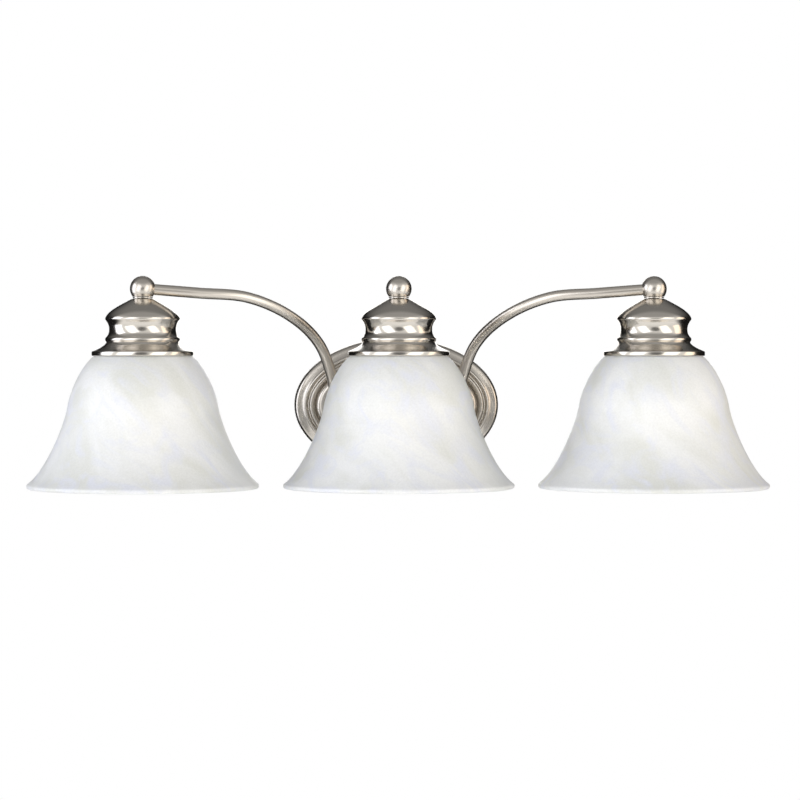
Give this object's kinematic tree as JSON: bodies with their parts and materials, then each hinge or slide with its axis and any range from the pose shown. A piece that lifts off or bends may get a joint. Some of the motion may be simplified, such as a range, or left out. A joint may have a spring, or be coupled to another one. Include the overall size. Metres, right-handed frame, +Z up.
{
  "type": "vanity light bar",
  "caption": "Wall-mounted vanity light with an oval canopy, curved tubular arms, ball finials, spun metal holders and bell-shaped marbled glass shades.",
  "frame": {"origin": "centre of the oval canopy on the wall, at the crossbar's back face", "axes": "+Z up, +Y into the wall, +X to the right seen from the room, along the row of lights"},
  "size_m": [0.6338, 0.2189, 0.1814],
  "materials": {
    "brushed_nickel": "satin nickel plating with a fine brushed grain",
    "polished_nickel": "nickel plating, spun and lightly polished",
    "marbled_glass": "white marbled glass, satin outside, with faint cloudy swirls",
    "frosted_bulb": "inside-frosted white glass",
    "aluminium": "rolled and stamped sheet",
    "zinc_steel": "zinc-plated steel",
    "brass": "stamped strip",
    "porcelain": "white glazed porcelain",
    "phenolic": "moulded black phenolic",
    "green_screw": "green-dyed steel screw",
    "black_lead": "insulated wire",
    "white_lead": "insulated wire",
    "copper": "bare copper wire",
    "orange_nylon": "moulded twist-on connector"
  },
  "bodies": {
    "fixture": {"mounting_crossbar": "zinc_steel", "crossbar_stud_left": "zinc_steel", "crossbar_stud_right": "zinc_steel", "box_screw_left": "zinc_steel", "box_screw_right": "zinc_steel", "ground_screw": "green_screw", "canopy": "brushed_nickel", "cap_nut_left": "polished_nickel", "cap_nut_right": "polished_nickel", "lead_black": "black_lead", "lead_white": "white_lead", "ground_lead": "copper", "wire_nut_black": "orange_nylon", "wire_nut_white": "orange_nylon", "arm_left": "brushed_nickel", "arm_collar_left": "brushed_nickel", "arm_locknut_left": "zinc_steel", "ball_left": "polished_nickel", "seat_washer_left": "polished_nickel", "nipple_left": "zinc_steel", "holder_left": "polished_nickel", "nipple_nut_left": "zinc_steel", "socket_left": "porcelain", "screw_shell_left": "aluminium", "center_contact_left": "brass", "arm_center": "brushed_nickel", "arm_collar_center": "brushed_nickel", "arm_locknut_center": "zinc_steel", "ball_center": "polished_nickel", "seat_washer_center": "polished_nickel", "nipple_center": "zinc_steel", "holder_center": "polished_nickel", "nipple_nut_center": "zinc_steel", "socket_center": "porcelain", "screw_shell_center": "aluminium", "center_contact_center": "brass", "arm_right": "brushed_nickel", "arm_collar_right": "brushed_nickel", "arm_locknut_right": "zinc_steel", "ball_right": "polished_nickel", "seat_washer_right": "polished_nickel", "nipple_right": "zinc_steel", "holder_right": "polished_nickel", "nipple_nut_right": "zinc_steel", "socket_right": "porcelain", "screw_shell_right": "aluminium", "center_contact_right": "brass"},
    "left_shade": {"shade_left": "marbled_glass"},
    "left_ring": {"shade_ring_left": "phenolic"},
    "left_bulb": {"bulb_base_left": "aluminium", "bulb_glass_left": "frosted_bulb"},
    "center_shade": {"shade_center": "marbled_glass"},
    "center_ring": {"shade_ring_center": "phenolic"},
    "center_bulb": {"bulb_base_center": "aluminium", "bulb_glass_center": "frosted_bulb"},
    "right_shade": {"shade_right": "marbled_glass"},
    "right_ring": {"shade_ring_right": "phenolic"},
    "right_bulb": {"bulb_base_right": "aluminium", "bulb_glass_right": "frosted_bulb"}
  },
  "joints": [
    {"name": "left_shade_drop", "type": "slide", "parent": "fixture", "child": "left_shade", "axis": [0, 0, -1], "range_m": [0, 0.015]},
    {"name": "left_ring_turn", "type": "hinge", "parent": "left_shade", "child": "left_ring", "pos_m": [-0.218, -0.12, 0.0448], "axis": [0, 0, -1], "range_deg": [0, 1800]},
    {"name": "left_bulb_out", "type": "slide", "parent": "fixture", "child": "left_bulb", "axis": [0, 0, -1], "range_m": [0, 0.14]},
    {"name": "center_shade_drop", "type": "slide", "parent": "fixture", "child": "center_shade", "axis": [0, 0, -1], "range_m": [0, 0.015]},
    {"name": "center_ring_turn", "type": "hinge", "parent": "center_shade", "child": "center_ring", "pos_m": [0, -0.12, 0.0448], "axis": [0, 0, -1], "range_deg": [0, 1800]},
    {"name": "center_bulb_out", "type": "slide", "parent": "fixture", "child": "center_bulb", "axis": [0, 0, -1], "range_m": [0, 0.14]},
    {"name": "right_shade_drop", "type": "slide", "parent": "fixture", "child": "right_shade", "axis": [0, 0, -1], "range_m": [0, 0.015]},
    {"name": "right_ring_turn", "type": "hinge", "parent": "right_shade", "child": "right_ring", "pos_m": [0.218, -0.12, 0.0448], "axis": [0, 0, -1], "range_deg": [0, 1800]},
    {"name": "right_bulb_out", "type": "slide", "parent": "fixture", "child": "right_bulb", "axis": [0, 0, -1], "range_m": [0, 0.14]}
  ],
  "couplings": [
    {"joint": "left_ring_turn", "follows": "left_shade_drop", "rad_per_m": 2094.4},
    {"joint": "center_ring_turn", "follows": "center_shade_drop", "rad_per_m": 2094.4},
    {"joint": "right_ring_turn", "follows": "right_shade_drop", "rad_per_m": 2094.4}
  ]
}
